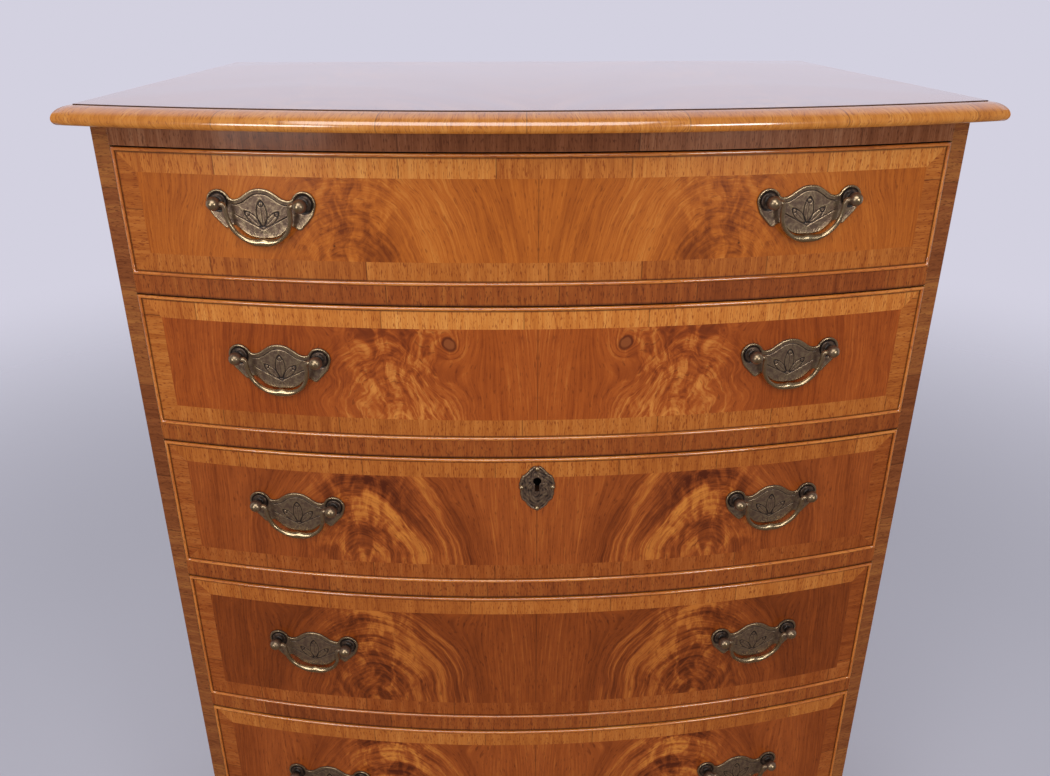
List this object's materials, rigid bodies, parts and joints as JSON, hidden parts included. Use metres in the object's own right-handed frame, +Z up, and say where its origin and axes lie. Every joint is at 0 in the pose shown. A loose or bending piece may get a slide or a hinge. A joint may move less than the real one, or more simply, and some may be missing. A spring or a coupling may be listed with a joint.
{
  "type": "bow front chest of drawers",
  "caption": "Tall chest of graduated drawers with a bowed front, cock beaded and crossbanded drawer fronts, swan neck drop handles, a moulded top and bracket feet.",
  "frame": {"origin": "on the floor under the middle of the whole chest", "axes": "+Z up, +X towards the right as one faces the drawers, front towards -Y; the drawers slide out along -Y"},
  "size_m": [0.799, 0.5836, 1.2264],
  "materials": {
    "walnut_carcass": "french polished walnut veneer",
    "walnut_top": "french polished walnut veneer, glossy",
    "walnut_crossgrain_moulding": "polished cross-grained walnut",
    "walnut_feet": "polished walnut",
    "walnut_rails": "polished cross-grained walnut veneer",
    "walnut_drawer_front": "polished figured walnut veneer with crossbanding",
    "walnut_cock_bead": "polished walnut",
    "oak_drawer_lining": "plain oak, unpolished",
    "drawer_bottom_board": "thin board, unpolished",
    "pine_carcass": "plain softwood, unpolished",
    "back_plywood": "stained plywood",
    "antique_brass": "antiqued cast brass, worn bright on its edges",
    "lock_brass": "plain brass",
    "lock_steel": "filed steel"
  },
  "bodies": {
    "root": {"case_sides": "walnut_carcass", "bottom_board": "pine_carcass", "back_panel": "back_plywood", "front_rails": "walnut_rails", "drawer_runners": "pine_carcass", "top_board": "walnut_top", "top_moulding": "walnut_crossgrain_moulding", "base_moulding": "walnut_crossgrain_moulding", "bracket_feet": "walnut_feet"},
    "drawer_1": {"drawer_1_front": "walnut_drawer_front", "drawer_1_sides": "oak_drawer_lining", "drawer_1_back": "oak_drawer_lining", "drawer_1_bottom": "drawer_bottom_board", "drawer_1_cock_beads": "walnut_cock_bead", "drawer_1_handle_plates": "antique_brass"},
    "drawer_1_bail_left": {"drawer_1_bail_left": "antique_brass"},
    "drawer_1_bail_right": {"drawer_1_bail_right": "antique_brass"},
    "drawer_2": {"drawer_2_front": "walnut_drawer_front", "drawer_2_sides": "oak_drawer_lining", "drawer_2_back": "oak_drawer_lining", "drawer_2_bottom": "drawer_bottom_board", "drawer_2_cock_beads": "walnut_cock_bead", "drawer_2_handle_plates": "antique_brass"},
    "drawer_2_bail_left": {"drawer_2_bail_left": "antique_brass"},
    "drawer_2_bail_right": {"drawer_2_bail_right": "antique_brass"},
    "drawer_3": {"drawer_3_front": "walnut_drawer_front", "drawer_3_sides": "oak_drawer_lining", "drawer_3_back": "oak_drawer_lining", "drawer_3_bottom": "drawer_bottom_board", "drawer_3_cock_beads": "walnut_cock_bead", "drawer_3_handle_plates": "antique_brass", "escutcheon": "antique_brass", "lock_case": "lock_brass"},
    "drawer_3_bail_left": {"drawer_3_bail_left": "antique_brass"},
    "drawer_3_bail_right": {"drawer_3_bail_right": "antique_brass"},
    "drawer_4": {"drawer_4_front": "walnut_drawer_front", "drawer_4_sides": "oak_drawer_lining", "drawer_4_back": "oak_drawer_lining", "drawer_4_bottom": "drawer_bottom_board", "drawer_4_cock_beads": "walnut_cock_bead", "drawer_4_handle_plates": "antique_brass"},
    "drawer_4_bail_left": {"drawer_4_bail_left": "antique_brass"},
    "drawer_4_bail_right": {"drawer_4_bail_right": "antique_brass"},
    "drawer_5": {"drawer_5_front": "walnut_drawer_front", "drawer_5_sides": "oak_drawer_lining", "drawer_5_back": "oak_drawer_lining", "drawer_5_bottom": "drawer_bottom_board", "drawer_5_cock_beads": "walnut_cock_bead", "drawer_5_handle_plates": "antique_brass"},
    "drawer_5_bail_left": {"drawer_5_bail_left": "antique_brass"},
    "drawer_5_bail_right": {"drawer_5_bail_right": "antique_brass"},
    "drawer_6": {"drawer_6_front": "walnut_drawer_front", "drawer_6_sides": "oak_drawer_lining", "drawer_6_back": "oak_drawer_lining", "drawer_6_bottom": "drawer_bottom_board", "drawer_6_cock_beads": "walnut_cock_bead", "drawer_6_handle_plates": "antique_brass"},
    "drawer_6_bail_left": {"drawer_6_bail_left": "antique_brass"},
    "drawer_6_bail_right": {"drawer_6_bail_right": "antique_brass"},
    "lock_bolt": {"lock_bolt": "lock_steel"}
  },
  "joints": [
    {"name": "drawer_1_slide", "type": "slide", "parent": "root", "child": "drawer_1", "axis": [0, -1, 0], "range_m": [0, 0.38]},
    {"name": "drawer_1_bail_left_swing", "type": "hinge", "parent": "drawer_1", "child": "drawer_1_bail_left", "pos_m": [-0.23681, -0.24238, 1.1472], "axis": [-0.9851, 0.172, 0], "range_deg": [0, 160]},
    {"name": "drawer_1_bail_right_swing", "type": "hinge", "parent": "drawer_1", "child": "drawer_1_bail_right", "pos_m": [0.23681, -0.24238, 1.1472], "axis": [-0.9851, -0.172, 0], "range_deg": [0, 160]},
    {"name": "drawer_2_slide", "type": "slide", "parent": "root", "child": "drawer_2", "axis": [0, -1, 0], "range_m": [0, 0.38]},
    {"name": "drawer_2_bail_left_swing", "type": "hinge", "parent": "drawer_2", "child": "drawer_2_bail_left", "pos_m": [-0.23681, -0.24238, 1.0063], "axis": [-0.9851, 0.172, 0], "range_deg": [0, 160]},
    {"name": "drawer_2_bail_right_swing", "type": "hinge", "parent": "drawer_2", "child": "drawer_2_bail_right", "pos_m": [0.23681, -0.24238, 1.0063], "axis": [-0.9851, -0.172, 0], "range_deg": [0, 160]},
    {"name": "drawer_3_slide", "type": "slide", "parent": "root", "child": "drawer_3", "axis": [0, -1, 0], "range_m": [0, 0.38]},
    {"name": "drawer_3_bail_left_swing", "type": "hinge", "parent": "drawer_3", "child": "drawer_3_bail_left", "pos_m": [-0.23681, -0.24238, 0.85115], "axis": [-0.9851, 0.172, 0], "range_deg": [0, 160]},
    {"name": "drawer_3_bail_right_swing", "type": "hinge", "parent": "drawer_3", "child": "drawer_3_bail_right", "pos_m": [0.23681, -0.24238, 0.85115], "axis": [-0.9851, -0.172, 0], "range_deg": [0, 160]},
    {"name": "drawer_4_slide", "type": "slide", "parent": "root", "child": "drawer_4", "axis": [0, -1, 0], "range_m": [0, 0.38]},
    {"name": "drawer_4_bail_left_swing", "type": "hinge", "parent": "drawer_4", "child": "drawer_4_bail_left", "pos_m": [-0.23681, -0.24238, 0.6816], "axis": [-0.9851, 0.172, 0], "range_deg": [0, 160]},
    {"name": "drawer_4_bail_right_swing", "type": "hinge", "parent": "drawer_4", "child": "drawer_4_bail_right", "pos_m": [0.23681, -0.24238, 0.6816], "axis": [-0.9851, -0.172, 0], "range_deg": [0, 160]},
    {"name": "drawer_5_slide", "type": "slide", "parent": "root", "child": "drawer_5", "axis": [0, -1, 0], "range_m": [0, 0.38]},
    {"name": "drawer_5_bail_left_swing", "type": "hinge", "parent": "drawer_5", "child": "drawer_5_bail_left", "pos_m": [-0.23681, -0.24238, 0.4905], "axis": [-0.9851, 0.172, 0], "range_deg": [0, 160]},
    {"name": "drawer_5_bail_right_swing", "type": "hinge", "parent": "drawer_5", "child": "drawer_5_bail_right", "pos_m": [0.23681, -0.24238, 0.4905], "axis": [-0.9851, -0.172, 0], "range_deg": [0, 160]},
    {"name": "drawer_6_slide", "type": "slide", "parent": "root", "child": "drawer_6", "axis": [0, -1, 0], "range_m": [0, 0.38]},
    {"name": "drawer_6_bail_left_swing", "type": "hinge", "parent": "drawer_6", "child": "drawer_6_bail_left", "pos_m": [-0.23681, -0.24238, 0.2774], "axis": [-0.9851, 0.172, 0], "range_deg": [0, 160]},
    {"name": "drawer_6_bail_right_swing", "type": "hinge", "parent": "drawer_6", "child": "drawer_6_bail_right", "pos_m": [0.23681, -0.24238, 0.2774], "axis": [-0.9851, -0.172, 0], "range_deg": [0, 160]},
    {"name": "lock_bolt_throw", "type": "slide", "parent": "drawer_3", "child": "lock_bolt", "axis": [0, 0, 1], "range_m": [0, 0.006]}
  ]
}
